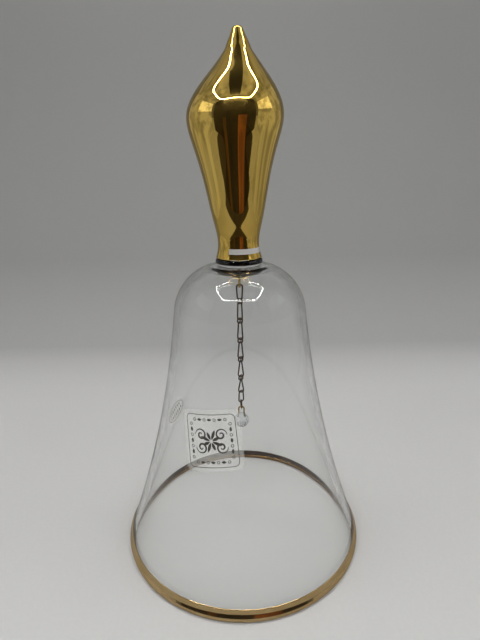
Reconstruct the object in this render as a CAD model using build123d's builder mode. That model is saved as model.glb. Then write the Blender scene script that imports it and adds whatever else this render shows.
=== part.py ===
from build123d import *
import os
from math import cos, radians, sin

# A hand bell of clear blown glass. The origin is the centre of the rim's resting plane,
# +Z runs up the axis to the handle's tip, and the labels face -Y.

# Driving dimensions, in millimetres and degrees.
rim_radius = 45.0
total_height = 175.2

# Bell wall: a long flared side, a rounded shoulder and a flat crown. Its foot is melted
# to a round bead that is a little thicker than the wall, with a narrow flat to stand on.
wall = 2.1
side_foot_radius = 45.18
side_top_radius = 22.6
side_top_height = 91.0
side_bow = 2.85
shoulder_radius = 12.8
shoulder_height = 104.6
crown_radius = 8.8
crown_height = 105.5
crown_flat = 6.8
lip_bead_radius = 1.45
lip_flat_depth = 0.25
lip_blend = 1.6

# Fired gold, drawn thicker than the real film so that it is a solid.
gilding = 0.12
gold_band_height = 4.3
gold_inner_height = 1.7

# Handle: a closed glass bulb, open at its foot where the collar seals it. The outline is
# the radius and height of points up its outside, without the tip.
foot_height = 108.4
foot_direction = (-0.5, 1)
handle_outline = [
    (7.6, foot_height),
    (6.95, 110.9),
    (8.05, 120.5),
    (10.6, 133.4),
    (13.4, 144.0),
    (14.8, 152.0),
    (11.95, 158.8),
    (6.95, 165.2),
    (4.65, 168.2),
    (3.85, 169.4),
    (3.35, 170.6),
    (2.65, 172.1),
    (1.95, 173.7),
]
handle_wall = 1.7
cavity_mouth = 2.5
cavity_top = 168.6
cavity_points = slice(1, 8)
collar_radius = 7.9
collar_waist = 7.0

# Wire eye in a drop of glass under the crown.
drop_radius = 3.3
drop_height = 1.8
drop_fullness = (0.72, 0.75)
eye_wire_size = 0.8
eye_spacing = 2.2
eye_bottom = 98.2
eye_leg_top = 104.4

# Chain: long twisted links and small rings, then an oval link and a thin ring.
chain_wire = 0.52
play = 0.05
link_width = 2.7
link_length = 6.54
end_link_length = 5.6
ring_length = 1.8
ring_width = 2.32
long_link_count = 6
link_twist = 90.0
ring_twist = 30.0
yaw_step = 8.0
oval_link_length = 4.4
thin_ring_length = 3.2
thin_ring_width = 1.9
thin_wire = 0.45
bend_fraction = 0.8
first_top_yaw = 10.0
oval_link_yaws = (50.0, 35.0)
thin_ring_yaws = (105.0, 105.0)

# Clapper: a faceted crystal bead on a wire staple.
staple_wire = 0.6
staple_spacing = 2.0
staple_height = 3.0
staple_depth = 1.6
bead_radius = 2.75
facet_depth = 0.14
girdle_facets = 10
cap_facets = 5
crown_elevation = 36.0
cap_elevation = 68.0

# Labels: two thin films on the outside of the wall.
film = 0.12
square_size = 19.5
square_corner = 2.2
square_height = 55.0
square_azimuth = -19.5
square_tilt = 9.5
oval_radii = (2.7, 6.3)
oval_height = 60.0
oval_azimuth = -52.0
oval_tilt = -32.0

os.makedirs("parts", exist_ok=True)


def save(part, label):
    """Label a finished piece and write its STEP file."""
    part.label = label
    export_step(part, f"parts/{label}.step")


# Glass bell -----------------------------------------------------------------------------

wall_foot = (side_foot_radius, 0)
wall_top = (side_top_radius, side_top_height)
lip_middle = rim_radius - gilding - lip_bead_radius
lip_centre_height = lip_bead_radius + gilding - lip_flat_depth


def add_lip(section, growth):
    """Give the section that is being drawn a bead for a foot, grown on all sides by growth."""
    with Locations((0, lip_centre_height)):
        Rectangle(rim_radius, total_height, align=Align.MIN, mode=Mode.INTERSECT)
    with Locations((lip_middle, lip_centre_height)):
        Circle(lip_bead_radius + growth)
    with Locations((0, gilding - growth)):
        Rectangle(rim_radius, total_height, align=Align.MIN, mode=Mode.INTERSECT)
    fillet(section.vertices().filter_by_position(Axis.Y, wall / 2, 2 * wall), lip_blend - growth)


with BuildSketch(Plane.XZ) as wall_section:
    with BuildLine():
        side = SagittaArc(wall_foot, wall_top, side_bow)
        shoulder = TangentArc(side @ 1, (shoulder_radius, shoulder_height), tangent=side % 1)
        crown = TangentArc(shoulder @ 1, (crown_radius, crown_height), tangent=shoulder % 1)
        Line(crown @ 1, (0, crown_height))
        offset(amount=wall, side=Side.LEFT)
    make_face()
    add_lip(wall_section, 0)

# The drop of glass hangs from the flat underside of the crown. Its fullness is the place
# that its curve passes through, as shares of its radius and height.
ceiling = crown_height - wall
with BuildPart() as crown_drop:
    with BuildSketch(Plane.XZ):
        with BuildLine():
            Line((0, ceiling), (drop_radius, ceiling))
            ThreePointArc(
                (drop_radius, ceiling),
                (drop_fullness[0] * drop_radius, ceiling - drop_fullness[1] * drop_height),
                (0, ceiling - drop_height),
            )
            Line((0, ceiling - drop_height), (0, ceiling))
        make_face()
    revolve(axis=Axis.Z)

# The eye is a wire staple seen from its side: its legs stand one behind the other.
with BuildPart() as eye_wire:
    with BuildLine() as eye_path:
        Line((0, -eye_spacing / 2, eye_leg_top), (0, -eye_spacing / 2, eye_bottom + eye_spacing / 2))
        ThreePointArc(
            (0, -eye_spacing / 2, eye_bottom + eye_spacing / 2),
            (0, 0, eye_bottom),
            (0, eye_spacing / 2, eye_bottom + eye_spacing / 2),
        )
        Line((0, eye_spacing / 2, eye_bottom + eye_spacing / 2), (0, eye_spacing / 2, eye_leg_top))
    with BuildSketch(Plane((0, -eye_spacing / 2, eye_leg_top), z_dir=(0, 0, -1))):
        Circle(eye_wire_size / 2)
    sweep(path=eye_path.wire())

with BuildPart() as bell_body:
    with BuildSketch(Plane.XZ):
        add(wall_section.sketch)
    revolve(axis=Axis.Z)
    add(eye_wire.part, mode=Mode.SUBTRACT)

save(bell_body.part, "bell_body")
save(crown_drop.part - eye_wire.part, "crown_drop")
save(eye_wire.part, "eye_wire")


# Gilding of the rim: over the outside, under the lip and a little way up the inside.
with BuildPart() as rim_gilding:
    with BuildSketch(Plane.XZ) as gold_section:
        with BuildLine():
            SagittaArc(wall_foot, wall_top, side_bow)
            offset(amount=gilding, side=Side.RIGHT)
        make_face()
        with BuildLine():
            SagittaArc(wall_foot, wall_top, side_bow)
            offset(amount=wall + gilding, side=Side.LEFT)
        make_face()
        add_lip(gold_section, gilding)
        add(wall_section.sketch, mode=Mode.SUBTRACT)
        with BuildLine():
            Polyline(
                (lip_middle - wall, -wall),
                (lip_middle + wall, -wall),
                (lip_middle + wall, gold_band_height),
                (lip_middle, gold_band_height),
                (lip_middle, gold_inner_height),
                (lip_middle - wall, gold_inner_height),
                close=True,
            )
        make_face(mode=Mode.INTERSECT)
    revolve(axis=Axis.Z)

save(rim_gilding.part, "rim_gilding")


# Handle ---------------------------------------------------------------------------------


def handle_face(inset):
    """Half section of the handle's outside, moved in towards the axis by inset."""
    points = [(radius - inset, height) for radius, height in handle_outline]
    points += [(0, total_height - inset)]
    with BuildSketch(Plane.XZ) as half:
        with BuildLine():
            body = Spline(*points, tangents=(foot_direction, (-1, 0)), tangent_scalars=(1, 1))
            Line(body @ 1, (0, foot_height))
            Line((0, foot_height), body @ 0)
        make_face()
    return half.sketch


with BuildPart() as neck_collar:
    with BuildSketch(Plane.XZ):
        with BuildLine():
            Line((0, crown_height), (crown_flat, crown_height))
            ThreePointArc(
                (crown_flat, crown_height),
                (collar_radius, (crown_height + foot_height) / 2),
                (collar_waist, foot_height),
            )
            Line((collar_waist, foot_height), (0, foot_height))
            Line((0, foot_height), (0, crown_height))
        make_face()
    revolve(axis=Axis.Z)

with BuildPart() as handle_glass:
    with BuildSketch(Plane.XZ):
        add(handle_face(gilding))
    revolve(axis=Axis.Z)
    with BuildSketch(Plane.XZ):
        with BuildLine():
            cavity = Spline(
                *[(radius - handle_wall, height) for radius, height in handle_outline[cavity_points]],
                (0, cavity_top),
                tangents=((0, 1), (-1, 0)),
            )
            Polyline(cavity @ 1, (0, foot_height), (cavity_mouth, foot_height), cavity @ 0)
        make_face()
    revolve(axis=Axis.Z, mode=Mode.SUBTRACT)

with BuildPart() as handle_gilding:
    with BuildSketch(Plane.XZ):
        add(handle_face(0))
        add(handle_face(gilding), mode=Mode.SUBTRACT)
    revolve(axis=Axis.Z)

save(neck_collar.part, "neck_collar")
save(handle_glass.part, "handle_glass")
save(handle_gilding.part, "handle_gilding")


# Chain ----------------------------------------------------------------------------------


def make_link(top, length, width, wire, top_yaw, bottom_yaw):
    """A closed wire link hanging from height top, its two ends turned to their own yaws."""
    reach = width / 2 - wire / 2
    ends = [(reach, top_yaw, top), (-reach, top_yaw, top)]
    ends += [(-reach, bottom_yaw, top - length), (reach, bottom_yaw, top - length)]
    corners = [(arm * cos(radians(yaw)), arm * sin(radians(yaw)), z) for arm, yaw, z in ends]
    with BuildPart() as link:
        with BuildLine() as path:
            FilletPolyline(*corners, radius=bend_fraction * reach, close=True)
        for edge in path.edges():
            with BuildSketch(Plane(edge @ 0, z_dir=edge % 0)):
                Circle(wire / 2)
            sweep(path=edge)
    return link.part


def hang(above_bottom, above_wire, wire):
    """Height of a link's top wire when it hangs on a wire that lies at above_bottom."""
    return above_bottom + (above_wire + wire) / 2 + play


# Each entry of chain is one link: its name, the height of its top wire, its length, width
# and wire, and the yaw of its top and of its bottom.
chain = []
bottom = eye_bottom
bottom_wire = eye_wire_size
for number in range(1, long_link_count + 1):
    middle_yaw = yaw_step * (number - 1)
    length = end_link_length if number in (1, long_link_count) else link_length
    top_yaw = middle_yaw + link_twist / 2 if number > 1 else first_top_yaw
    top = hang(bottom, bottom_wire, chain_wire)
    bottom = top - length
    bottom_wire = chain_wire
    yaws = (top_yaw, middle_yaw - link_twist / 2)
    chain.append((f"long_link_{number}", top, length, link_width, chain_wire, yaws))
    if number < long_link_count:
        ring_yaw = middle_yaw + yaw_step / 2
        top = hang(bottom, chain_wire, chain_wire)
        bottom = top - ring_length
        yaws = (ring_yaw + ring_twist / 2, ring_yaw - ring_twist / 2)
        chain.append((f"small_ring_{number}", top, ring_length, ring_width, chain_wire, yaws))

top = hang(bottom, chain_wire, chain_wire)
bottom = top - oval_link_length
chain.append(("oval_link", top, oval_link_length, link_width, chain_wire, oval_link_yaws))

top = hang(bottom, chain_wire, thin_wire)
bottom = top - thin_ring_length
chain.append(("thin_ring", top, thin_ring_length, thin_ring_width, thin_wire, thin_ring_yaws))

for name, top, length, width, wire, yaws in chain:
    save(make_link(top, length, width, wire, *yaws), name)


# Clapper --------------------------------------------------------------------------------

staple_top = hang(bottom, thin_wire, staple_wire)
bead_top = staple_top - staple_height
bead_centre = bead_top - bead_radius + facet_depth
arch = staple_spacing / 2
leg_end = bead_top - staple_depth

with BuildPart() as clapper_staple:
    with BuildLine() as staple_path:
        Line((-arch, 0, leg_end), (-arch, 0, staple_top - arch))
        ThreePointArc((-arch, 0, staple_top - arch), (0, 0, staple_top), (arch, 0, staple_top - arch))
        Line((arch, 0, staple_top - arch), (arch, 0, leg_end))
    with BuildSketch(Plane((-arch, 0, leg_end), z_dir=(0, 0, 1))):
        Circle(staple_wire / 2)
    sweep(path=staple_path.wire())

# The bead is a ball ground with rows of flat facets. Each row is its elevation, its count
# and how far it is turned, in steps of the row.
facet_rows = [(0, girdle_facets, 0), (90, 1, 0), (-90, 1, 0)]
for sign in (1, -1):
    facet_rows.append((sign * crown_elevation, girdle_facets, 1 / 2))
    facet_rows.append((sign * cap_elevation, cap_facets, 0))
with BuildPart() as clapper_bead:
    with Locations((0, 0, bead_centre)):
        Sphere(bead_radius)
    for elevation, count, stagger in facet_rows:
        for turn in range(count):
            azimuth = (turn + stagger) * 360 / count
            flat = cos(radians(elevation))
            normal = Vector(flat * cos(radians(azimuth)), flat * sin(radians(azimuth)), sin(radians(elevation)))
            origin = Vector(0, 0, bead_centre) + normal * (bead_radius - facet_depth)
            split(bisect_by=Plane(origin, z_dir=normal), keep=Keep.BOTTOM)
    add(clapper_staple.part, mode=Mode.SUBTRACT)

save(clapper_staple.part, "clapper_staple")
save(clapper_bead.part, "clapper_bead")


# Labels ---------------------------------------------------------------------------------


def wall_plane(azimuth, height):
    """A plane outside the wall that faces it at this azimuth from -Y and this height."""
    across = Vector(cos(radians(azimuth)), sin(radians(azimuth)), 0)
    outward = Vector(sin(radians(azimuth)), -cos(radians(azimuth)), 0)
    return Plane(Vector(0, 0, height), x_dir=across, z_dir=outward)


def make_film(azimuth, height, outline):
    """A thin film that lies on the wall where outline, drawn flat, falls on it."""
    with BuildPart() as label_film:
        with BuildSketch(Plane.XZ):
            with BuildLine():
                SagittaArc(wall_foot, wall_top, side_bow)
                offset(amount=film, side=Side.RIGHT)
            make_face()
        revolve(axis=Axis.Z)
        with BuildSketch(wall_plane(azimuth, height)):
            add(outline)
        extrude(amount=rim_radius, mode=Mode.INTERSECT)
    return label_film.part


with BuildSketch() as square_outline:
    RectangleRounded(square_size, square_size, square_corner, rotation=square_tilt)
with BuildSketch() as oval_outline:
    Ellipse(*oval_radii, rotation=oval_tilt)

save(make_film(square_azimuth, square_height, square_outline.sketch), "square_label")
save(make_film(oval_azimuth, oval_height, oval_outline.sketch), "oval_label")
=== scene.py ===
import math

import bpy
from mathutils import Matrix, Vector


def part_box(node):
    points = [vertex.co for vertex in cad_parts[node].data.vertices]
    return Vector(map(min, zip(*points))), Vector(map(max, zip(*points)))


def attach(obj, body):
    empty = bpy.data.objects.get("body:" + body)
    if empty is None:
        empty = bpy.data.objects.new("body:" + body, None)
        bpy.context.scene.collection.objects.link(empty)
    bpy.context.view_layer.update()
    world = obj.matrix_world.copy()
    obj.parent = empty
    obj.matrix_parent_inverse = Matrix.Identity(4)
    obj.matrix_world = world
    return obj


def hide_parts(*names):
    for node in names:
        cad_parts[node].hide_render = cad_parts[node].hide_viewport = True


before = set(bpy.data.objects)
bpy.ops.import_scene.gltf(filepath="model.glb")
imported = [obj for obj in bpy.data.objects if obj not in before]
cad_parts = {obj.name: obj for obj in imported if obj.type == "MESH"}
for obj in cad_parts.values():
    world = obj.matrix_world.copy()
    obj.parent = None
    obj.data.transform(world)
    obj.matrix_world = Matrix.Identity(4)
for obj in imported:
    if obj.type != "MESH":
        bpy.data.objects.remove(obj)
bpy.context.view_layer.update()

# A hand bell of clear blown glass with a gilded handle and rim. Everything is in metres
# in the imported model's frame: the rim rests on z = 0 and the handle's tip is up.

MM = 0.001

# The glass, as the frame has it.
WALL = 2.1 * MM
SIDE_FOOT = (45.18 * MM, 0.0)
SIDE_TOP = (22.6 * MM, 91.0 * MM)
SIDE_BOW = 2.85 * MM
SHOULDER_END = (12.8 * MM, 104.6 * MM)
CROWN_END = (8.8 * MM, 105.5 * MM)
DROP_CHEEK = (0.72, 0.75)
COLLAR_JOINT = 6.8 * MM
COLLAR_RADIUS = 7.9 * MM
COLLAR_TOP = 7.0 * MM
LIP_MIDDLE = (43.43 * MM, 1.32 * MM)
LIP_BOTTOM = 0.12 * MM
LIP_RADIUS = 1.45 * MM
LIP_BLEND = 3.4 * MM

# The lip's round section starts this many degrees above level outside, and turns this far.
LIP_START = 42.0
LIP_TURN = 252.0
LIP_STEPS = 32

# The handle's outside, as (radius, height), and how far it leans off the axis towards +X, as
# (height, lean). Both are in millimetres.
HANDLE_KNOTS = (
    (7.6, 108.4),
    (6.95, 110.9),
    (8.05, 120.5),
    (10.6, 133.4),
    (13.4, 144.0),
    (14.8, 152.0),
    (11.95, 158.8),
    (6.95, 165.2),
    (4.65, 168.2),
    (3.85, 169.4),
    (3.35, 170.6),
    (2.65, 172.1),
    (1.95, 173.7),
    (1.45, 174.7),
    (0.75, 175.12),
    (0.0, 175.2),
)
HANDLE_SWAY = (
    (108.4, 0.0),
    (118.0, -0.15),
    (132.0, -0.4),
    (147.0, -0.65),
    (157.0, -0.1),
    (165.0, 0.6),
    (175.2, 0.55),
)

# The hollow in the handle follows its outside between two heights.
HANDLE_WALL = 1.7 * MM
CAVITY_MOUTH = 2.5 * MM
CAVITY_SPAN = (110.9 * MM, 164.0 * MM)
CAVITY_NECK = (2.2 * MM, 168.3 * MM)
CAVITY_TOP = 169.0 * MM

# The gold, and how far its inner face sinks into the glass that it coats.
GOLD = 0.12 * MM
BITE = 0.02 * MM
BAND_HEIGHT = 4.3 * MM
BAND_INSIDE = 1.7 * MM
BAND_WAVER = 0.22 * MM
BAND_REACH = 7.0 * MM

# Where the gold has worn off the handle's foot: heights, and degrees round from -Y.
WORN_HEIGHTS = (110.1 * MM, 112.0 * MM)
WORN_TURNS = (-26.0, 82.0)

# Wire sizes and the turn of each link's two ends, in degrees.
CHAIN_WIRE = 0.52 * MM
THIN_WIRE = 0.45 * MM
STAPLE_WIRE = 0.6 * MM
EYE_WIRE = 0.8 * MM
LINK_REACH = 1.09 * MM
RING_REACH = 0.9 * MM
THIN_REACH = 0.725 * MM
EYE_REACH = 1.1 * MM
STAPLE_REACH = 1.0 * MM
BEND = 0.8
LONG_LINKS = 6
YAW_STEP = 8.0
LINK_TWIST = 90.0
RING_TWIST = 30.0
FIRST_TOP_YAW = 10.0
OVAL_YAWS = (50.0, 35.0)
THIN_YAW = 105.0

# Labels: (azimuth from -Y, height of centre, tilt) and their sizes.
FILM = 0.12 * MM
SQUARE = (-19.5, 55.0 * MM, 9.5)
SQUARE_HALF = 9.75 * MM
SQUARE_CORNER = 2.2 * MM
OVAL = (-52.0, 60.0 * MM, -32.0)
OVAL_RADII = (2.7 * MM, 6.3 * MM)

# Steps round the axis of the large turned pieces.
ROUND = 192


# Lines in the plane of radius and height -------------------------------------------------


def arc_through(start, middle, end, steps):
    """Points on the circle through three points, from start to end."""
    (ax, ay), (bx, by), (cx, cy) = start, middle, end
    d = 2 * (ax * (by - cy) + bx * (cy - ay) + cx * (ay - by))
    a2, b2, c2 = ax * ax + ay * ay, bx * bx + by * by, cx * cx + cy * cy
    ux = (a2 * (by - cy) + b2 * (cy - ay) + c2 * (ay - by)) / d
    uy = (a2 * (cx - bx) + b2 * (ax - cx) + c2 * (bx - ax)) / d
    radius = math.hypot(ax - ux, ay - uy)
    a = math.atan2(ay - uy, ax - ux)
    m = (math.atan2(by - uy, bx - ux) - a) % math.tau
    e = (math.atan2(cy - uy, cx - ux) - a) % math.tau
    turn = e if m < e else e - math.tau
    angles = [a + turn * i / steps for i in range(steps + 1)]
    return [(ux + radius * math.cos(t), uy + radius * math.sin(t)) for t in angles]


def bowed(start, end, bow, steps):
    """An arc from start to end whose middle stands off the chord by bow, to the left."""
    dx, dy = end[0] - start[0], end[1] - start[1]
    length = math.hypot(dx, dy)
    middle = ((start[0] + end[0]) / 2 - dy / length * bow, (start[1] + end[1]) / 2 + dx / length * bow)
    return arc_through(start, middle, end, steps)


def tangent_arc(before, end, steps):
    """An arc that carries on from a line of points and ends at end."""
    (px, py), (sx, sy) = before[-2], before[-1]
    tx, ty = sx - px, sy - py
    scale = math.hypot(tx, ty)
    nx, ny = -ty / scale, tx / scale
    cx, cy = end[0] - sx, end[1] - sy
    radius = (cx * cx + cy * cy) / (2 * (cx * nx + cy * ny))
    centre = (sx + nx * radius, sy + ny * radius)
    chord = math.hypot(cx, cy)
    half = math.asin(max(-1.0, min(1.0, chord / (2 * abs(radius)))))
    first = math.atan2(sy - centre[1], sx - centre[0])
    turn = math.copysign(2 * half, radius)
    angles = [first + turn * i / steps for i in range(1, steps + 1)]
    return [(centre[0] + abs(radius) * math.cos(t), centre[1] + abs(radius) * math.sin(t)) for t in angles]


def smooth_line(points, steps):
    """A cubic spline through points whose bend is continuous, with steps pieces per gap."""
    points = [Vector(p) for p in points]
    gaps = [(b - a).length for a, b in zip(points, points[1:])]
    last = len(points) - 1
    bends = [Vector((0.0, 0.0)) for _ in points]
    ratios, rights = [0.0], [Vector((0.0, 0.0))]
    for i in range(1, last):
        before, after = gaps[i - 1], gaps[i]
        target = 6 * ((points[i + 1] - points[i]) / after - (points[i] - points[i - 1]) / before)
        pivot = 2 * (before + after) - before * ratios[-1]
        rights.append((target - rights[-1] * before) / pivot)
        ratios.append(after / pivot)
    for i in range(last - 1, 0, -1):
        bends[i] = rights[i] - bends[i + 1] * ratios[i]
    line = []
    for i, gap in enumerate(gaps):
        for s in range(steps):
            u = s / steps
            v = 1 - u
            straight = points[i] * v + points[i + 1] * u
            bend = bends[i] * (v ** 3 - v) + bends[i + 1] * (u ** 3 - u)
            line.append(tuple(straight + bend * gap * gap / 6))
    return line + [tuple(points[-1])]


class Rail:
    """A line of (radius, height) points that can be read by length and moved sideways."""

    def __init__(self, points):
        self.points = [Vector(p) for p in points]
        self.lengths = [0.0]
        for a, b in zip(self.points, self.points[1:]):
            self.lengths.append(self.lengths[-1] + (b - a).length)
        self.normals = []
        for i in range(len(self.points)):
            a = self.points[max(0, i - 1)]
            b = self.points[min(len(self.points) - 1, i + 1)]
            d = (b - a).normalized()
            self.normals.append(Vector((d.y, -d.x)))

    def at(self, length, offset=0.0):
        """The point at this length, moved to the line's right by offset."""
        length = min(max(length, 0.0), self.lengths[-1])
        i = next(k for k in range(1, len(self.lengths)) if self.lengths[k] >= length)
        span = self.lengths[i] - self.lengths[i - 1]
        t = (length - self.lengths[i - 1]) / span
        normal = self.normals[i - 1].lerp(self.normals[i], t).normalized()
        return tuple(self.points[i - 1].lerp(self.points[i], t) + normal * offset)

    def moved(self, offset):
        """Every point, moved to the line's right by offset."""
        return [tuple(p + n * offset) for p, n in zip(self.points, self.normals)]


# Meshes ----------------------------------------------------------------------------------


def add_mesh(name, vertices, faces, materials, face_material=None, smooth=True):
    """A new mesh object with the given material of each face."""
    mesh = bpy.data.meshes.new(name)
    mesh.from_pydata([tuple(v) for v in vertices], [], faces)
    for material in materials:
        mesh.materials.append(material)
    for i, polygon in enumerate(mesh.polygons):
        polygon.use_smooth = smooth
        if face_material:
            polygon.material_index = face_material[i]
    mesh.validate()
    mesh.update()
    piece = bpy.data.objects.new(name, mesh)
    bpy.context.scene.collection.objects.link(piece)
    return piece


def lathe(name, section, materials, closed=False, marks=None, segments=ROUND):
    """Turns section(azimuth), a list of (radius, height), about the axis. The section runs
    with the solid on its right. marks gives the material number of each stretch of it."""
    rows = [section(math.tau * i / segments) for i in range(segments)]
    count = len(rows[0])
    vertices, index = [], {}
    for j in range(count):
        on_axis = rows[0][j][0] < 1e-7
        for i in range(segments):
            if on_axis and i > 0:
                index[i, j] = index[0, j]
                continue
            a = math.tau * i / segments
            r, z = rows[i][j]
            index[i, j] = len(vertices)
            vertices.append((r * math.sin(a), -r * math.cos(a), z))
    faces, slots = [], []
    for j in range(count if closed else count - 1):
        k = (j + 1) % count
        for i in range(segments):
            n = (i + 1) % segments
            corners = [index[i, j], index[i, k], index[n, k], index[n, j]]
            face = [v for p, v in enumerate(corners) if v not in corners[:p]]
            if len(face) > 2:
                faces.append(face)
                slots.append(marks[j] if marks else 0)
    return add_mesh(name, vertices, faces, materials, slots)


def link_line(top, bottom, reach, top_yaw, bottom_yaw, steps=9):
    """Closed line of a link: two ends, each turned to its own yaw, and two legs."""
    corners = []
    for yaw, z, sides in ((top_yaw, top, (1, -1)), (bottom_yaw, bottom, (-1, 1))):
        turn = math.radians(yaw)
        for sign in sides:
            corners.append(Vector((sign * reach * math.cos(turn), sign * reach * math.sin(turn), z)))
    radius = BEND * reach
    line = []
    for i, corner in enumerate(corners):
        back = (corners[i - 1] - corner).normalized()
        on = (corners[(i + 1) % 4] - corner).normalized()
        angle = back.angle(on)
        cut = radius / math.tan(angle / 2)
        centre = corner + (back + on).normalized() * radius / math.sin(angle / 2)
        a, b = corner + back * cut - centre, corner + on * cut - centre
        sweep = a.angle(b)
        for s in range(steps + 1):
            t = s / steps
            arm = a * math.sin((1 - t) * sweep) + b * math.sin(t * sweep)
            line.append(centre + arm / math.sin(sweep))
        following = corners[(i + 1) % 4]
        gap = (following - corner).length - 2 * cut
        for s in range(1, 8):
            if gap > 1 * MM:
                line.append(corner + on * (cut + gap * s / 8))
    return line


def wire(name, line, thickness, material, closed, swell=None, sides=14):
    """A round wire along a line of points. swell gives its relative thickness by place."""
    count = len(line)
    tangents = []
    for i in range(count):
        a = line[i - 1] if closed or i > 0 else line[0]
        b = line[(i + 1) % count] if closed or i < count - 1 else line[-1]
        tangents.append((b - a).normalized())
    across = tangents[0].orthogonal().normalized()
    frames = []
    for tangent in tangents:
        across = (across - tangent * across.dot(tangent)).normalized()
        frames.append((across.copy(), tangent.cross(across)))
    slip = 0.0
    if closed:
        last = (frames[-1][0] - tangents[0] * frames[-1][0].dot(tangents[0])).normalized()
        slip = math.atan2(last.dot(frames[0][1]), last.dot(frames[0][0]))
    vertices, faces = [], []
    for i, (point, (u, v)) in enumerate(zip(line, frames)):
        radius = thickness / 2 * (swell(i / count) if swell else 1.0)
        for k in range(sides):
            a = math.tau * k / sides - slip * i / count
            vertices.append(point + (u * math.cos(a) + v * math.sin(a)) * radius)
    for i in range(count if closed else count - 1):
        n = (i + 1) % count
        for k in range(sides):
            m = (k + 1) % sides
            faces.append([i * sides + k, i * sides + m, n * sides + m, n * sides + k])
    if not closed:
        faces.append(list(range(sides))[::-1])
        faces.append([(count - 1) * sides + k for k in range(sides)])
    return add_mesh(name, vertices, faces, [material])


def place(piece, node, body):
    """The piece stands for a CAD node and rides on its body."""
    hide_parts(node)
    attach(piece, body)
    return piece


# Materials -------------------------------------------------------------------------------


def combine(tree, operation, first, second):
    """The value of a Math node. second is a socket or a number."""
    node = tree.nodes.new("ShaderNodeMath")
    node.operation = operation
    tree.links.new(first, node.inputs[0])
    if isinstance(second, float):
        node.inputs[1].default_value = second
    else:
        tree.links.new(second, node.inputs[1])
    return node.outputs["Value"]


def mix_colours(tree, factor, first, second):
    """Mixes two colours, each a tuple or a socket, by factor."""
    node = tree.nodes.new("ShaderNodeMix")
    node.data_type = "RGBA"
    tree.links.new(factor, node.inputs["Factor"])
    for socket, value in ((node.inputs["A"], first), (node.inputs["B"], second)):
        if isinstance(value, tuple):
            socket.default_value = (*value, 1.0)
        else:
            tree.links.new(value, socket)
    return node.outputs["Result"]


def seen_in_mirror(tree):
    """1 for rays that a surface has reflected, 0 for those that came through glass."""
    ray = tree.nodes.new("ShaderNodeLightPath").outputs
    reflected = combine(tree, "SUBTRACT", ray["Is Glossy Ray"], ray["Is Transmission Ray"])
    return combine(tree, "GREATER_THAN", reflected, 0.5)


class Nodes:
    """A shorthand for building a material's node tree."""

    def __init__(self, name):
        self.material = bpy.data.materials.new(name)
        self.material.use_nodes = True
        self.tree = self.material.node_tree
        self.shader = self.tree.nodes["Principled BSDF"]
        self.output = self.tree.nodes["Material Output"]
        self.place = self.add("ShaderNodeTexCoord").outputs["Object"]

    def add(self, kind, **settings):
        """A new node with these settings."""
        node = self.tree.nodes.new(kind)
        for key, value in settings.items():
            setattr(node, key, value)
        return node

    def link(self, source, target):
        """Joins one socket to another."""
        self.tree.links.new(source, target)

    def noise(self, scale, detail=2.0, roughness=0.5, stretch=(1, 1, 1)):
        """A noise value whose cells measure about 1 / scale metres."""
        mapping = self.add("ShaderNodeMapping")
        mapping.inputs["Scale"].default_value = stretch
        self.link(self.place, mapping.inputs["Vector"])
        node = self.add("ShaderNodeTexNoise")
        node.inputs["Scale"].default_value = scale
        node.inputs["Detail"].default_value = detail
        node.inputs["Roughness"].default_value = roughness
        self.link(mapping.outputs["Vector"], node.inputs["Vector"])
        return node.outputs["Fac"]

    def range(self, value, low, high, to_low, to_high):
        """Maps low..high of value to to_low..to_high, and clamps it."""
        node = self.add("ShaderNodeMapRange")
        numbers = {"From Min": low, "From Max": high, "To Min": to_low, "To Max": to_high}
        for key, number in numbers.items():
            node.inputs[key].default_value = number
        self.link(value, node.inputs["Value"])
        return node.outputs["Result"]

    def mix(self, factor, first, second):
        """Mixes two colours, each a tuple or a socket, by factor."""
        return mix_colours(self.tree, factor, first, second)

    def bump(self, height, strength, distance):
        """Lets a height value disturb the surface."""
        node = self.add("ShaderNodeBump")
        node.inputs["Strength"].default_value = strength
        node.inputs["Distance"].default_value = distance
        self.link(height, node.inputs["Height"])
        self.link(node.outputs["Normal"], self.shader.inputs["Normal"])

    def let_lamps_through(self, clear, edge):
        """Lamps shine through the glass, less so where it is seen edge-on."""
        facing = self.add("ShaderNodeLayerWeight").outputs["Facing"]
        steep = self.range(facing, 0.55, 1.0, 0.0, 1.0)
        tint = self.mix(steep, clear, edge)
        through = self.add("ShaderNodeBsdfTransparent")
        self.link(tint, through.inputs["Color"])
        ray = self.add("ShaderNodeLightPath").outputs
        from_lamp = combine(self.tree, "MAXIMUM", ray["Is Shadow Ray"], ray["Is Diffuse Ray"])
        choose = self.add("ShaderNodeMixShader")
        self.link(from_lamp, choose.inputs["Fac"])
        self.link(self.shader.outputs["BSDF"], choose.inputs[1])
        self.link(through.outputs["BSDF"], choose.inputs[2])
        self.link(choose.outputs["Shader"], self.output.inputs["Surface"])


def clear_glass(name, roughness=0.0, waviness=0.12):
    """Polished blown glass with faint smears and a hand-blown unevenness."""
    n = Nodes(name)
    n.shader.inputs["Transmission Weight"].default_value = 1.0
    n.shader.inputs["IOR"].default_value = 1.48
    colour = n.mix(n.noise(40.0), (0.992, 0.997, 0.995), (0.98, 0.99, 0.985))
    n.link(colour, n.shader.inputs["Base Color"])
    smears = n.range(n.noise(90.0, 4.0, 0.6, (1, 1, 0.4)), 0.62, 0.8, roughness, roughness + 0.06)
    n.link(smears, n.shader.inputs["Roughness"])
    n.bump(n.noise(55.0, 1.0, 0.4, (1, 1, 0.5)), waviness, 0.3 * MM)
    n.let_lamps_through((0.985, 0.99, 0.985), (0.66, 0.67, 0.665))
    return n.material


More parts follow.
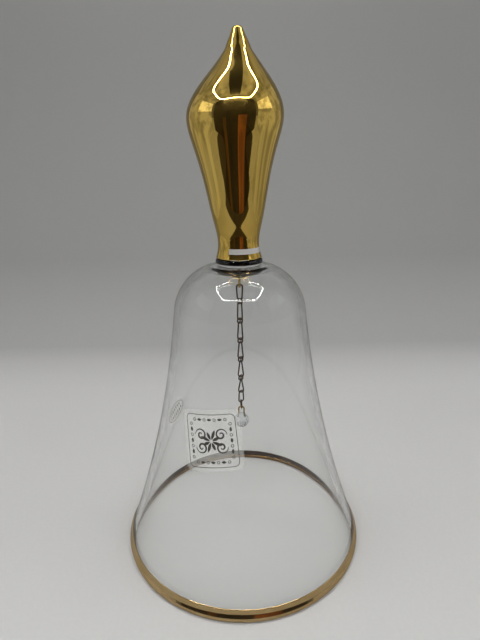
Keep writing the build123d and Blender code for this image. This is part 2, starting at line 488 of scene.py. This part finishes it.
def crystal():
    """Cut lead crystal: clean, bright and more refractive than the bell's glass."""
    n = Nodes("cut_crystal")
    n.shader.inputs["Transmission Weight"].default_value = 1.0
    n.shader.inputs["IOR"].default_value = 1.56
    colour = n.mix(n.noise(900.0), (0.985, 0.99, 1.0), (0.93, 0.955, 0.99))
    n.link(colour, n.shader.inputs["Base Color"])
    n.link(n.range(n.noise(2500.0, 2.0), 0.55, 0.8, 0.0, 0.05), n.shader.inputs["Roughness"])
    n.let_lamps_through((0.93, 0.94, 0.96), (0.6, 0.62, 0.66))
    return n.material


def gilding(name, bright, deep, roughness, metallic=1.0):
    """Fired liquid gold: a mirror with faint flow marks, thin places and fine scratches."""
    n = Nodes(name)
    n.shader.inputs["Metallic"].default_value = metallic
    flow = n.range(n.noise(60.0, 3.0, 0.55, (1, 1, 0.35)), 0.3, 0.75, 0.0, 1.0)
    colour = n.mix(flow, bright, deep)
    n.link(colour, n.shader.inputs["Base Color"])
    scratches = n.range(n.noise(1400.0, 3.0, 0.7, (1, 1, 0.08)), 0.66, 0.8, roughness, roughness + 0.16)
    n.link(scratches, n.shader.inputs["Roughness"])
    peel = n.add("ShaderNodeMath", operation="MULTIPLY_ADD")
    n.link(n.noise(520.0, 2.0, 0.5, (1, 1, 0.7)), peel.inputs[0])
    peel.inputs[1].default_value = 0.07
    n.link(n.noise(75.0, 1.5, 0.45, (1, 1, 0.45)), peel.inputs[2])
    n.bump(peel.outputs["Value"], 0.16, 0.25 * MM)
    return n.material


def drawn_wire(name, light, dark, roughness, grime):
    """Brass wire with dark patina in random patches."""
    n = Nodes(name)
    n.shader.inputs["Metallic"].default_value = 0.9
    worn = n.range(n.noise(1800.0, 4.0, 0.65), 0.5 - grime, 0.5 + grime, 0.0, 1.0)
    n.link(n.mix(worn, dark, light), n.shader.inputs["Base Color"])
    n.link(n.range(n.noise(3200.0, 3.0), 0.3, 0.7, roughness, roughness + 0.22), n.shader.inputs["Roughness"])
    n.bump(n.noise(5200.0, 3.0, 0.6), 0.35, 0.02 * MM)
    return n.material


def label_film():
    """Clear self-adhesive film that is a little milky, more so where it has lifted."""
    n = Nodes("clear_label_film")
    lifted = n.range(n.noise(420.0, 3.0, 0.6), 0.4, 0.7, 0.0, 1.0)
    n.link(n.mix(lifted, (0.74, 0.74, 0.70), (0.86, 0.86, 0.83)), n.shader.inputs["Base Color"])
    n.link(n.range(n.noise(900.0), 0.3, 0.7, 0.22, 0.4), n.shader.inputs["Roughness"])
    n.shader.inputs["Alpha"].default_value = 0.22
    return n.material


def label_ink(name, colour):
    """Printed ink with a little wear."""
    n = Nodes(name)
    light = tuple(min(1.0, c * 2.2 + 0.02) for c in colour)
    wear = n.range(n.noise(2600.0, 3.0), 0.45, 0.75, 0.0, 1.0)
    n.link(n.mix(wear, colour, light), n.shader.inputs["Base Color"])
    n.shader.inputs["Roughness"].default_value = 0.45
    return n.material


GLASS = clear_glass("blown_glass")
CRYSTAL = crystal()
GOLD_FRONT = gilding("fired_gold", (0.98, 0.70, 0.19), (0.90, 0.59, 0.12), 0.03)
# Painted shade: the gold's glass side, the rim's lip and inside wrap, and the rim band are darker, browner
# copies of the handle's gold.
GOLD_BACK_PAINTED_SHADE = gilding("fired_gold_through_glass_painted_shade", (0.36, 0.17, 0.055), (0.20, 0.09, 0.025), 0.14)
GOLD_INSIDE_PAINTED_SHADE = gilding("fired_gold_inside_painted_shade", (0.50, 0.30, 0.12), (0.33, 0.18, 0.06), 0.14)
GOLD_RIM_PAINTED_SHADE = gilding("fired_gold_rim_painted_shade", (0.84, 0.62, 0.32), (0.66, 0.45, 0.20), 0.07)
WORN = gilding("worn_gold_edge", (0.66, 0.65, 0.63), (0.48, 0.47, 0.45), 0.12, 0.3)
BRASS = drawn_wire("brass_wire", (0.42, 0.29, 0.10), (0.10, 0.065, 0.025), 0.24, 0.25)
PATINA = drawn_wire("antique_chain", (0.115, 0.058, 0.018), (0.006, 0.004, 0.003), 0.2, 0.14)
FILM_SHEET = label_film()
INK = label_ink("dark_print", (0.03, 0.028, 0.025))


# The bell --------------------------------------------------------------------------------

side = bowed(SIDE_FOOT, SIDE_TOP, SIDE_BOW, 60)
shoulder = tangent_arc(side, SHOULDER_END, 24)
crown = tangent_arc(side + shoulder, CROWN_END, 10)
OUTER = Rail(side + shoulder + crown + [(COLLAR_JOINT, CROWN_END[1])])
CEILING = CROWN_END[1] - WALL


def wall_radius(z):
    """Radius of the wall's outside at height z."""
    points = OUTER.points
    for a, b in zip(points, points[1:]):
        if a.y <= z <= b.y:
            return a.x + (b.x - a.x) * (z - a.y) / (b.y - a.y)
    return points[0].x


def blend(start, heading, end, leaving, steps=8):
    """A curve from start to end that sets out along heading and arrives along leaving."""
    a, b = Vector(start), Vector(end)
    out, back = Vector(heading).normalized(), Vector(leaving).normalized()
    cross = out.x * back.y - out.y * back.x
    reach = ((b.x - a.x) * back.y - (b.y - a.y) * back.x) / cross
    corner = a + out * reach
    shares = [i / steps for i in range(1, steps)]
    return [tuple(a * (1 - t) ** 2 + corner * 2 * t * (1 - t) + b * t * t) for t in shares]


def lipped_wall():
    """The wall's section from the crown down the outside, round the lip and up the inside."""
    outside = [p for p in OUTER.points if p[1] > LIP_BLEND][::-1]
    inside = [Vector(p) for p in OUTER.moved(-WALL) if p[1] > LIP_BLEND]
    bead = []
    for i in range(LIP_STEPS + 1):
        turn = math.radians(LIP_START - LIP_TURN * i / LIP_STEPS)
        height = max(LIP_BOTTOM, LIP_MIDDLE[1] + LIP_RADIUS * math.sin(turn))
        bead.append((LIP_MIDDLE[0] + LIP_RADIUS * math.cos(turn), height))
    first = Vector(bead[1]) - Vector(bead[0])
    last = Vector(bead[-1]) - Vector(bead[-2])
    line = [tuple(p) for p in outside]
    line += blend(outside[-1], outside[-1] - outside[-2], bead[0], first)
    line += bead
    line += blend(bead[-1], last, inside[0], inside[1] - inside[0])
    return line + [tuple(p) for p in inside]


def make_bell():
    """The blown wall. It is open where the collar and the glass drop are fused to it."""
    drop_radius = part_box("crown_drop")[1].x
    section = [p for p in lipped_wall() if p[1] < CEILING or p[0] > drop_radius * 1.2]
    section[-1] = (drop_radius, CEILING)
    return place(lathe("bell_glass", lambda a: section, [GLASS]), "bell_body", "bell")


def make_drop():
    """The drop of glass that holds the eye, open where it is fused to the crown."""
    low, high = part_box("crown_drop")
    radius, depth = high.x, high.z - low.z
    cheek = (radius * DROP_CHEEK[0], CEILING - depth * DROP_CHEEK[1])
    dome = arc_through((radius, CEILING), cheek, (0.0, CEILING - depth), 20)
    dome[-1] = (0.0, dome[-1][1])
    piece = lathe("glass_drop", lambda a: dome, [GLASS], segments=64)
    return place(piece, "crown_drop", "bell")


def make_collar():
    """The clear disc between crown and handle. Its top shuts the handle's cavity."""
    bottom, top = CROWN_END[1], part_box("neck_collar")[1].z
    bulge = arc_through((COLLAR_TOP, top), (COLLAR_RADIUS, (bottom + top) / 2), (COLLAR_JOINT, bottom), 20)
    piece = lathe("neck_glass_collar", lambda a: bulge, [GLASS], segments=128)
    plug = lathe("cavity_floor", lambda a: [(0.0, top), (CAVITY_MOUTH, top)], [GLASS], segments=64)
    join(piece, plug)
    return place(piece, "neck_collar", "bell")


def join(piece, *others):
    """Joins other objects into piece."""
    bpy.ops.object.select_all(action="DESELECT")
    for o in (piece, *others):
        o.select_set(True)
    bpy.context.view_layer.objects.active = piece
    bpy.ops.object.join()


def handle_line(inset):
    """Outside of the handle from foot to tip, moved in towards the axis by inset."""
    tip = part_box("handle_gilding")[1].z
    line = smooth_line([(r * MM, z * MM) for r, z in HANDLE_KNOTS], 10)
    return [(max(0.0, r - inset), min(z, tip - inset)) for r, z in line[:-1]] + [(0.0, tip - inset)]


def sway(piece):
    """Bends a handle piece a little off the axis, as free-blown glass is."""
    curve = smooth_line([(z * MM, x * MM) for z, x in HANDLE_SWAY], 12)
    for vertex in piece.data.vertices:
        z = min(max(vertex.co.z, curve[0][0]), curve[-1][0])
        i = next(k for k in range(1, len(curve)) if curve[k][0] >= z)
        (z0, x0), (z1, x1) = curve[i - 1], curve[i]
        vertex.co.x += x0 + (x1 - x0) * (z - z0) / (z1 - z0)
    return piece


def make_handle():
    """The glass bulb inside the gold, and the gold over it."""
    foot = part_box("handle_glass")[0].z
    outside = handle_line(GOLD)
    low, high = CAVITY_SPAN
    cavity = [(r - HANDLE_WALL, z) for r, z in handle_line(0.0) if low < z < high]
    hollow = [(CAVITY_MOUTH, foot), *cavity, CAVITY_NECK, (0.0, CAVITY_TOP)]
    shell = [*outside[::-1], (COLLAR_TOP, foot)]
    glass = lathe("handle_bulb", lambda a: shell, [GLASS], segments=96)
    inner = lathe("handle_cavity", lambda a: hollow, [GLASS], segments=96)
    join(glass, inner)
    place(sway(glass), "handle_glass", "bell")
    gold_out = handle_line(0.0)
    gold_in = handle_line(GOLD + BITE)
    under = [(COLLAR_TOP, foot), (COLLAR_TOP, foot + BITE)]
    section = [*gold_out[::-1], *under, *gold_in]
    marks = [0] * (len(gold_out) + 1) + [1] * len(gold_in)
    # The gold's inner face, against the glass, takes the darkest copy of the gold, as painted shade.
    gold = lathe("handle_gold", lambda a: section, [GOLD_FRONT, GOLD_BACK_PAINTED_SHADE, WORN], marks=marks, segments=160)
    for polygon in gold.data.polygons:
        x, y, z = polygon.center
        turn = math.degrees(math.atan2(x, -y))
        worn = WORN_HEIGHTS[0] < z < WORN_HEIGHTS[1] and WORN_TURNS[0] < turn < WORN_TURNS[1]
        if worn and polygon.material_index == 0:
            polygon.material_index = 2
    place(sway(gold), "handle_gilding", "bell")


def waver(azimuth, seed):
    """A slow, uneven wave round the bell, from -1 to 1, for a line painted by hand."""
    total = sum(math.sin(k * azimuth + seed * k * k) / k for k in (2, 3, 5, 7, 11, 17))
    return total / 1.6


def make_rim_gold():
    """The gold on the rim: its edges waver a little, as they were painted by hand."""
    line = Rail([p for p in lipped_wall() if p[1] < BAND_REACH])
    heights = [p.y for p in line.points]
    lowest = heights.index(min(heights))
    steps = 60

    def length_at(height, inner):
        """Length along the line where it crosses this height, outside or inside."""
        span = range(lowest, len(heights)) if inner else range(lowest, 0, -1)
        return line.lengths[next(i for i in span if heights[i] >= height)]

    outer_edge = length_at(BAND_HEIGHT, False)
    inner_edge = length_at(BAND_INSIDE, True)

    def section(azimuth):
        start = outer_edge + BAND_WAVER * (waver(azimuth, 1.3) + 0.4) * 0.5
        end = inner_edge + BAND_WAVER * waver(azimuth, 4.1)
        places = [start + (end - start) * i / steps for i in range(steps + 1)]
        top = [line.at(s, -GOLD if 0 < i < steps else 0.0) for i, s in enumerate(places)]
        back = [line.at(s, BITE) for s in places]
        return top + back[::-1]

    lip = round(steps * (line.lengths[lowest] - outer_edge) / (inner_edge - outer_edge))
    # Painted shade: the band's outside takes a darker copy of the gold, the lip's underside and the inside
    # wrap a darker one still, and the face against the glass the darkest.
    marks = [0] * lip + [2] * (steps + 1 - lip) + [1] * (steps + 1)
    painted_shade_golds = [GOLD_RIM_PAINTED_SHADE, GOLD_BACK_PAINTED_SHADE, GOLD_INSIDE_PAINTED_SHADE]
    gold = lathe("rim_gold", section, painted_shade_golds, closed=True, marks=marks, segments=256)
    place(gold, "rim_gilding", "bell")


make_bell()
make_drop()
make_collar()
make_handle()
make_rim_gold()


# Eye, chain and clapper ------------------------------------------------------------------


def hairpin(low, high, reach, yaw, bend_low, steps=18):
    """A U of wire with its bend at the bottom or the top and its legs in the given yaw."""
    turn = math.radians(yaw)
    across = Vector((math.cos(turn), math.sin(turn), 0.0))
    sign = -1 if bend_low else 1
    centre = low + reach if bend_low else high - reach
    leg_end = high if bend_low else low
    line = [across * -reach + Vector((0, 0, leg_end + (centre - leg_end) * s / 8)) for s in range(8)]
    for s in range(steps + 1):
        a = math.pi * s / steps
        line.append(across * (-reach * math.cos(a)) + Vector((0, 0, centre + sign * reach * math.sin(a))))
    line += [across * reach + Vector((0, 0, centre + (leg_end - centre) * s / 8)) for s in range(1, 9)]
    return line


def bead_of_solder(at, size):
    """Relative thickness of a link's wire, with a small swelling where its ends meet."""
    return lambda t: 1.0 + size * math.exp(-((t - at) / 0.012) ** 2)


def make_eye():
    """The wire loop whose legs end in the glass drop."""
    low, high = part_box("eye_wire")
    line = hairpin(low.z + EYE_WIRE / 2, high.z, EYE_REACH, 90.0, True)
    piece = wire("wire_eye", line, EYE_WIRE, BRASS, False, sides=20)
    place(piece, "eye_wire", "bell")


def make_link(node, reach, thickness, top_yaw, bottom_yaw, seam):
    """One link or ring of the chain. seam says how far along the wire its ends meet."""
    low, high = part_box(node)
    top, bottom = high.z - thickness / 2, low.z + thickness / 2
    line = link_line(top, bottom, reach, top_yaw, bottom_yaw)
    piece = wire(f"{node}_wire", line, thickness, PATINA, True, bead_of_solder(seam, 0.05))
    place(piece, node, node)


def make_chain():
    """Long links and rings in turn, then the oval link and the thin ring."""
    for number in range(1, LONG_LINKS + 1):
        middle = YAW_STEP * (number - 1)
        top = middle + LINK_TWIST / 2 if number > 1 else FIRST_TOP_YAW
        make_link(f"long_link_{number}", LINK_REACH, CHAIN_WIRE, top, middle - LINK_TWIST / 2, 0.34)
        if number < LONG_LINKS:
            middle += YAW_STEP / 2
            turn = RING_TWIST / 2
            make_link(f"small_ring_{number}", RING_REACH, CHAIN_WIRE, middle + turn, middle - turn, 0.4)
    make_link("oval_link", LINK_REACH, CHAIN_WIRE, *OVAL_YAWS, 0.34)
    make_link("thin_ring", THIN_REACH, THIN_WIRE, THIN_YAW, THIN_YAW, 0.62)


def make_clapper():
    """The staple, and the cut bead, whose facets are the CAD node's own."""
    low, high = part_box("clapper_staple")
    line = hairpin(low.z, high.z - STAPLE_WIRE / 2, STAPLE_REACH, 0.0, False)
    staple = wire("bead_staple", line, STAPLE_WIRE, BRASS, False, sides=20)
    place(staple, "clapper_staple", "clapper")
    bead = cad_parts["clapper_bead"]
    bead.data.materials.clear()
    bead.data.materials.append(CRYSTAL)


make_eye()
make_chain()
make_clapper()


# Labels ----------------------------------------------------------------------------------


class Label:
    """A flat drawing laid on the outside of the wall: x runs right and y up as it is read."""

    def __init__(self, azimuth, height, tilt):
        turn = math.radians(azimuth)
        self.across = Vector((math.cos(turn), math.sin(turn), 0.0))
        self.outward = Vector((math.sin(turn), -math.cos(turn), 0.0))
        self.height = height
        self.tilt = math.radians(tilt)

    def on_wall(self, x, y, offset):
        """The point of the wall under (x, y), lifted off it by offset."""
        u = x * math.cos(self.tilt) - y * math.sin(self.tilt)
        z = self.height + x * math.sin(self.tilt) + y * math.cos(self.tilt)
        radius = wall_radius(z) + offset
        return self.across * u + self.outward * math.sqrt(radius * radius - u * u) + Vector((0, 0, z))

    def sheet(self, name, outline, rings=14):
        """A film inside outline(t), t from 0 to 1."""
        count = 96
        vertices, faces = [], []
        for offset in (FILM, 0.004 * MM):
            for ring in range(1, rings + 1):
                share = ring / rings
                for i in range(count):
                    x, y = outline(i / count)
                    vertices.append(self.on_wall(x * share, y * share, offset))
            vertices.append(self.on_wall(0.0, 0.0, offset))
        layer = rings * count + 1
        for base, flip in ((0, False), (layer, True)):
            for i in range(count):
                n = (i + 1) % count
                faces.append([base + rings * count, base + i, base + n][:: -1 if flip else 1])
                for ring in range(rings - 1):
                    a, b = base + ring * count, base + (ring + 1) * count
                    faces.append([a + i, b + i, b + n, a + n][:: -1 if flip else 1])
        edge = (rings - 1) * count
        for i in range(count):
            n = (i + 1) % count
            faces.append([edge + i, layer + edge + i, layer + edge + n, edge + n])
        return add_mesh(name, vertices, faces, [FILM_SHEET])

    def draw(self, name, strokes):
        """Raised ink lines: each stroke is (points, width, closed)."""
        vertices, faces = [], []
        low, high = FILM + 0.002 * MM, FILM + 0.014 * MM
        for points, width, closed in strokes:
            base = len(vertices)
            count = len(points)
            for i, (x, y) in enumerate(points):
                ax, ay = points[i - 1] if closed or i > 0 else points[0]
                bx, by = points[(i + 1) % count] if closed or i < count - 1 else points[-1]
                length = math.hypot(bx - ax, by - ay) or 1.0
                nx, ny = -(by - ay) / length, (bx - ax) / length
                half = width(i / (count - 1)) / 2 if callable(width) else width / 2
                for sign, lift in ((1, high), (-1, high), (-1, low), (1, low)):
                    vertices.append(self.on_wall(x + nx * half * sign, y + ny * half * sign, lift))
            for i in range(count if closed else count - 1):
                n = (i + 1) % count
                for k in range(4):
                    m = (k + 1) % 4
                    faces.append([base + 4 * i + k, base + 4 * i + m, base + 4 * n + m, base + 4 * n + k])
            if not closed:
                faces.append([base + k for k in (3, 2, 1, 0)])
                faces.append([base + 4 * (count - 1) + k for k in range(4)])
        return add_mesh(name, vertices, faces, [INK], smooth=False)


def rounded_square(half, corner, count=120):
    """Points of a square with rounded corners: an arc, then a straight side, four times."""
    steps = count // 8
    inner = half - corner

    def centre(turn):
        """Centre of the corner whose arc starts in the direction turn."""
        diagonal = turn + math.pi / 4
        return Vector((math.copysign(inner, math.cos(diagonal)), math.copysign(inner, math.sin(diagonal))))

    points = []
    for quarter in range(4):
        start, end = math.pi / 2 * quarter, math.pi / 2 * (quarter + 1)
        for i in range(steps):
            turn = start + (end - start) * i / steps
            points.append(centre(start) + Vector((math.cos(turn), math.sin(turn))) * corner)
        arm = Vector((math.cos(end), math.sin(end))) * corner
        points += [(centre(start) + arm).lerp(centre(end) + arm, i / steps) for i in range(steps)]
    return [tuple(p) for p in points]


def spiral(cx, cy, start, turns, first, last, steps=36):
    """A spiral about (cx, cy) whose radius runs from first to last."""
    points = []
    for i in range(steps + 1):
        t = i / steps
        a = math.radians(start) + math.tau * turns * t
        r = first + (last - first) * t
        points.append((cx + r * math.cos(a), cy + r * math.sin(a)))
    return points


def hump(t):
    """0 at both ends of a stroke and 1 in its middle."""
    return math.sin(math.pi * min(1.0, max(0.0, t)))


def leaf(cx, cy, angle, length, width, steps=14):
    """A thin leaf drawn as a line that is thick in its middle."""
    a = math.radians(angle)
    reaches = [length * i / steps for i in range(steps + 1)]
    points = [(cx + reach * math.cos(a), cy + reach * math.sin(a)) for reach in reaches]
    return points, lambda t: max(0.02 * MM, width * hump(t) ** 0.8), False


def square_ornament():
    """A frame, a rosette between four scrolls, and a border of small leaves and rings."""
    strokes = [(rounded_square(8.3 * MM, 1.5 * MM), 0.17 * MM, True)]
    for petal in range(8):
        angle = 45.0 * petal + 22.5
        x, y = 0.5 * MM * math.cos(math.radians(angle)), 0.5 * MM * math.sin(math.radians(angle))
        strokes.append(leaf(x, y, angle, 3.3 * MM if petal % 2 else 2.6 * MM, 0.95 * MM))
    for across in (1, -1):
        for up in (1, -1):
            start = 90 - 90 * across
            scroll = spiral(across * 3.4 * MM, up * 2.0 * MM, start, across * up * 1.45, 2.0 * MM, 0.3 * MM)
            strokes.append((scroll, lambda t: (0.16 + 0.42 * hump(t)) * MM, False))
    for quarter in range(4):
        turn = math.radians(90 * quarter)
        c, s = math.cos(turn), math.sin(turn)
        for step in range(-3, 4):
            x, y = step * 1.75 * MM, 6.7 * MM
            px, py = x * c - y * s, x * s + y * c
            if step % 2:
                strokes.append((spiral(px, py, 0, 1.0, 0.42 * MM, 0.42 * MM, 12)[:-1], 0.17 * MM, True))
            else:
                strokes.append(leaf(px - 0.75 * MM * c, py - 0.75 * MM * s, 90 * quarter, 1.5 * MM, 0.8 * MM))
    return strokes


def oval_ornament():
    """An oval line with a row of small leaves along its middle."""
    rx, ry = (radius - 0.7 * MM for radius in OVAL_RADII)
    turns = [math.tau * i / 72 for i in range(72)]
    strokes = [([(rx * math.cos(t), ry * math.sin(t)) for t in turns], 0.16 * MM, True)]
    for step in range(-3, 4):
        y = step * 1.25 * MM
        half = (rx - 0.5 * MM) * math.sqrt(max(0.05, 1 - (step / 4.2) ** 2))
        strokes.append(leaf(-half, y - 0.2 * MM, 12, half * 0.9, 0.5 * MM))
        strokes.append(leaf(0.15 * MM, y + 0.15 * MM, -12, half * 0.9, 0.5 * MM))
    return strokes


def make_labels():
    """Two clear films, each with its print."""
    square = Label(*SQUARE)
    points = rounded_square(SQUARE_HALF, SQUARE_CORNER, 96)
    sheet = square.sheet("square_film", lambda t: points[round(t * 96) % 96])
    place(sheet, "square_label", "bell")
    oval = Label(*OVAL)
    rx, ry = OVAL_RADII
    film = oval.sheet("oval_film", lambda t: (rx * math.cos(math.tau * t), ry * math.sin(math.tau * t)))
    place(film, "oval_label", "bell")
    for ink in (square.draw("square_print", square_ornament()), oval.draw("oval_print", oval_ornament())):
        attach(ink, "bell")


make_labels()


# Studio ----------------------------------------------------------------------------------

# The camera, with its angles in degrees and its lens in millimetres.
CAMERA_PLACE = (0.0, -0.1478, 0.1345)
CAMERA_DOWN = 18.16
CAMERA_ROLL = -0.9
CAMERA_LENS = 24.98

# The backdrop: where it starts to rise behind the bell, and its greys from the floor up, darkening up the
# wall as painted shade.
SWEEP_START = 0.10
SWEEP_RADIUS = 0.27
FLOOR_GREY = (0.60, 0.60, 0.60)
MIDDLE_PAINTED_SHADE = (0.40, 0.40, 0.40)
WALL_PAINTED_SHADE = (0.305, 0.305, 0.3)
PAPER_IN_MIRROR = (0.55, 0.54, 0.52, 1.0)

# The world's colour as light, in a mirror and past the paper's edge.
SKY_LIGHT = (0.66, 0.663, 0.66)
SKY_IN_MIRROR = (0.10, 0.098, 0.095)
SKY_SEEN = (0.27, 0.27, 0.265)

# The loop of lamps.
LOOP_CENTRE = Vector((0.0, -0.1, 0.37))
LOOP_HALF = (0.165, 0.12)
LOOP_SQUARENESS = 4.2
LOOP_TUBE = 7.0 * MM
LOOP_STRENGTH = 36.0

# What the mirrors see: (name, lowest corner, highest corner, colour). Each is a flat card
# that only reflections show.
CARDS = (
    ("ceiling", (-0.35, -0.30, 0.43), (0.35, 0.3, 0.43), (0.27, 0.27, 0.26)),
    ("left_side", (-0.32, -0.24, 0.0), (-0.32, 0.3, 0.43), (0.36, 0.36, 0.35)),
    ("right_side", (0.32, -0.24, 0.0), (0.32, 0.3, 0.43), (0.36, 0.36, 0.35)),
    ("left_glow", (-0.315, -0.23, 0.22), (-0.315, 0.02, 0.37), (0.95, 0.94, 0.92)),
    ("right_glow", (0.315, -0.23, 0.22), (0.315, 0.02, 0.37), (1.05, 1.04, 1.02)),
    ("dark_room", (-0.27, -0.24, 0.0), (0.27, -0.24, 0.40), (0.016, 0.012, 0.009)),
    ("dark_threshold", (-0.22, -0.24, 0.002), (0.22, -0.19, 0.002), (0.03, 0.024, 0.018)),
    ("sleeve_right", (0.03, -0.235, 0.0), (0.12, -0.235, 0.14), (0.15, 0.055, 0.02)),
    ("sleeve_left", (-0.12, -0.235, 0.0), (-0.085, -0.235, 0.12), (0.08, 0.04, 0.016)),
    ("hood", (-0.055, -0.19, 0.40), (0.045, 0.0, 0.40), (0.008, 0.007, 0.006)),
)


def only_reflected(piece):
    """Hides a card from everything but reflections."""
    for ray in ("camera", "diffuse", "transmission", "volume_scatter", "shadow"):
        setattr(piece, f"visible_{ray}", False)


def make_card(name, low, high, colour):
    """A glowing flat card between two corners that share one coordinate."""
    n = Nodes(f"{name}_card")
    n.shader.inputs["Base Color"].default_value = (0, 0, 0, 1)
    n.shader.inputs["Emission Strength"].default_value = 1.0
    shade = tuple(c * 0.5 for c in colour)
    patches = n.range(n.noise(14.0, 3.0), 0.38, 0.6, 0.0, 1.0)
    n.link(n.mix(patches, shade, colour), n.shader.inputs["Emission Color"])
    flat = next(i for i in range(3) if low[i] == high[i])
    u, v = [i for i in range(3) if i != flat]
    vertices = []
    for a, b in ((low, low), (high, low), (high, high), (low, high)):
        corner = [0.0, 0.0, 0.0]
        corner[flat], corner[u], corner[v] = low[flat], a[u], b[v]
        vertices.append(corner)
    card = add_mesh(name, vertices, [[0, 1, 2, 3]], [n.material])
    only_reflected(card)


def make_backdrop():
    """A pale floor that sweeps up into a wall behind the object, darker up the wall by painted shade. Mirrors
    see it dimmer.
    """
    n = Nodes("studio_paper")
    spread = n.add("ShaderNodeSeparateXYZ")
    n.link(n.place, spread.inputs["Vector"])
    # Painted shade: the grey falls from the floor's to a middle grey at the foot of the sweep, then to the
    # wall's grey higher up.
    low = n.range(spread.outputs["Z"], 0.0, 0.010, 0.0, 1.0)
    high = n.range(spread.outputs["Z"], 0.006, 0.06, 0.0, 1.0)
    foot = n.mix(low, FLOOR_GREY, MIDDLE_PAINTED_SHADE)
    paper_and_painted_shade = n.mix(high, foot, WALL_PAINTED_SHADE)
    speck = n.mix(n.noise(700.0, 3.0), (0.97, 0.97, 0.97), (1.03, 1.03, 1.03))
    grain = n.add("ShaderNodeMix", data_type="RGBA", blend_type="MULTIPLY")
    grain.inputs["Factor"].default_value = 1.0
    n.link(paper_and_painted_shade, grain.inputs["A"])
    n.link(speck, grain.inputs["B"])
    mirrored = n.add("ShaderNodeMix", data_type="RGBA", blend_type="MULTIPLY")
    mirrored.inputs["B"].default_value = PAPER_IN_MIRROR
    n.link(seen_in_mirror(n.tree), mirrored.inputs["Factor"])
    n.link(grain.outputs["Result"], mirrored.inputs["A"])
    n.link(mirrored.outputs["Result"], n.shader.inputs["Base Color"])
    n.shader.inputs["Roughness"].default_value = 0.9
    n.shader.inputs["Specular IOR Level"].default_value = 0.1
    line = [(-1.2, 0.0), (0.0, 0.0), (SWEEP_START, 0.0)]
    for step in range(1, 25):
        turn = math.radians(90 * step / 24)
        line.append((SWEEP_START + SWEEP_RADIUS * math.sin(turn), SWEEP_RADIUS * (1 - math.cos(turn))))
    line.append((SWEEP_START + SWEEP_RADIUS, 1.2))
    vertices = [(x, y, z) for x in (-1.5, 1.5) for y, z in line]
    count = len(line)
    faces = [[i, i + 1, count + i + 1, count + i][::-1] for i in range(count - 1)]
    add_mesh("backdrop", vertices, faces, [n.material])


def make_lamp_loop():
    """A rounded loop of lamps under the studio's ceiling."""
    n = Nodes("lamp_strip")
    n.shader.inputs["Emission Color"].default_value = (1.0, 0.98, 0.95, 1.0)
    n.shader.inputs["Emission Strength"].default_value = LOOP_STRENGTH
    line = []
    for step in range(96):
        turn = math.tau * step / 96
        c, s = math.cos(turn), math.sin(turn)
        squash = (abs(c) ** LOOP_SQUARENESS + abs(s) ** LOOP_SQUARENESS) ** (-1 / LOOP_SQUARENESS)
        line.append(LOOP_CENTRE + Vector((LOOP_HALF[0] * c, LOOP_HALF[1] * s, 0.0)) * squash)
    strip = wire("lamp_loop", line, LOOP_TUBE, n.material, True, sides=8)
    strip.visible_camera = False


def make_world():
    """Soft grey light from all round. Mirrors see a dark room beyond the studio's cards."""
    world = bpy.data.worlds.new("studio")
    bpy.context.scene.world = world
    world.use_nodes = True
    tree = world.node_tree
    ray = tree.nodes.new("ShaderNodeLightPath").outputs
    seen = combine(tree, "MAXIMUM", ray["Is Camera Ray"], ray["Is Transmission Ray"])
    light = mix_colours(tree, seen_in_mirror(tree), SKY_LIGHT, SKY_IN_MIRROR)
    colour = mix_colours(tree, seen, light, SKY_SEEN)
    tree.links.new(colour, tree.nodes["Background"].inputs["Color"])


def make_camera():
    """A phone's wide lens, a little above the bell and close to it."""
    data = bpy.data.cameras.new("camera")
    data.lens = CAMERA_LENS
    data.sensor_width = 36.0
    data.clip_start = 0.01
    camera = bpy.data.objects.new("camera", data)
    bpy.context.scene.collection.objects.link(camera)
    tilt = Matrix.Rotation(math.radians(90 - CAMERA_DOWN), 4, "X")
    roll = Matrix.Rotation(math.radians(CAMERA_ROLL), 4, "Z")
    camera.matrix_world = Matrix.Translation(CAMERA_PLACE) @ tilt @ roll
    bpy.context.scene.camera = camera


make_backdrop()
make_lamp_loop()
for card in CARDS:
    make_card(*card)
make_world()
make_camera()
bpy.context.scene.view_settings.view_transform = "Standard"
